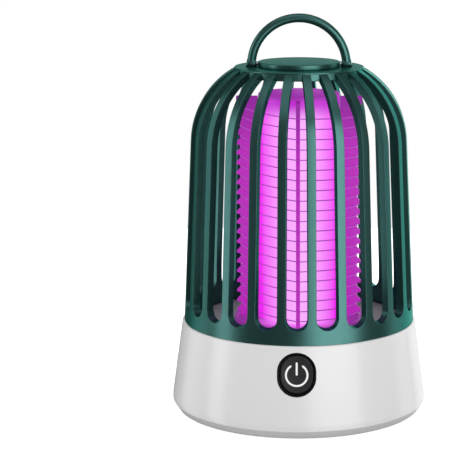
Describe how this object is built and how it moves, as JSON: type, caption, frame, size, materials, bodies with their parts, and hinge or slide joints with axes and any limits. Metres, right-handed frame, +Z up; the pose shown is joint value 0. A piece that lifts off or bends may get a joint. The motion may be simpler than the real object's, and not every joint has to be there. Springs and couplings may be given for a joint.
{
  "type": "electric bug zapper",
  "caption": "Rechargeable lantern-style electric bug zapper: ribbed domed cage with folding carry handle over a lit, wire-wound core on a round base with a push button.",
  "frame": {"origin": "on the table under the centre of the base", "axes": "+Z up along the lantern's axis, -Y towards the power button, +Y towards the charging port, X along the handle's pivots"},
  "size_m": [0.125, 0.125, 0.1933],
  "materials": {
    "housing": "glossy white moulding",
    "cover": "light grey moulding",
    "rubber": "matt",
    "deck": "smooth pale grey moulding",
    "core_plastic": "violet-tinted translucent moulding, lit from the lamp",
    "wire": "drawn stainless wire",
    "lead_metal": "tinned copper",
    "diffuser": "frosted, glowing pink-violet",
    "lamp_cap": "violet-tinted, faintly lit",
    "heat_sink": "extruded",
    "strip": "white solder mask",
    "led": "lit violet",
    "circuit_board": "green solder mask",
    "transformer": "taped winding",
    "capacitor": "sleeved can",
    "chip": "moulded epoxy",
    "cell_wrap": "shrink-wrapped steel can",
    "holder": "moulded",
    "contact": "plated spring metal",
    "steel": "plated",
    "button_black": "gloss black moulding",
    "button_grey": "satin dark grey, dished",
    "symbol": "white light-pipe inlay",
    "switch_plastic": "moulded",
    "screw": "zinc-plated",
    "cage": "satin dark teal-green with a slight metallic sheen"
  },
  "bodies": {
    "base": {"base_shell": "housing", "bottom_cover": "cover", "rubber_feet": "rubber", "cover_screws": "screw", "deck_plate": "deck", "deck_screws": "screw", "core_flange": "core_plastic", "core_screws": "screw", "grid_combs": "core_plastic", "grid_wire_live": "wire", "grid_wire_return": "wire", "grid_leads": "lead_metal", "lamp_tube": "diffuser", "lamp_cap": "lamp_cap", "led_column": "heat_sink", "led_strips": "strip", "uv_leds": "led", "lamp_leads": "lead_metal", "control_board": "circuit_board", "board_screws": "screw", "hv_transformer": "transformer", "hv_capacitors": "capacitor", "control_chips": "chip", "battery_cell": "cell_wrap", "battery_holder": "holder", "battery_contacts": "contact", "usb_socket": "steel", "usb_tongue": "chip", "button_bezel": "button_black", "tact_switch": "switch_plastic", "switch_board": "circuit_board", "switch_screws": "screw"},
    "button": {"power_button": "button_grey", "button_symbol": "symbol", "switch_plunger": "switch_plastic"},
    "cage": {"cage_band": "cage", "cage_ribs": "cage", "cage_crown": "cage", "top_disc": "cage", "disc_screws": "screw", "handle_pins": "steel"},
    "handle": {"carry_handle": "cage"}
  },
  "joints": [
    {"name": "cage_lift", "type": "slide", "parent": "base", "child": "cage", "axis": [0, 0, 1], "range_m": [0, 0.12]},
    {"name": "handle_fold", "type": "hinge", "parent": "cage", "child": "handle", "pos_m": [0, 0, 0.1692], "axis": [1, 0, 0], "range_deg": [-75, 75]},
    {"name": "button_press", "type": "slide", "parent": "base", "child": "button", "axis": [0, 0.9899, -0.1414], "range_m": [0, 0.0008], "stiffness_N_per_m": 1500, "springref_m": -0.0006}
  ]
}
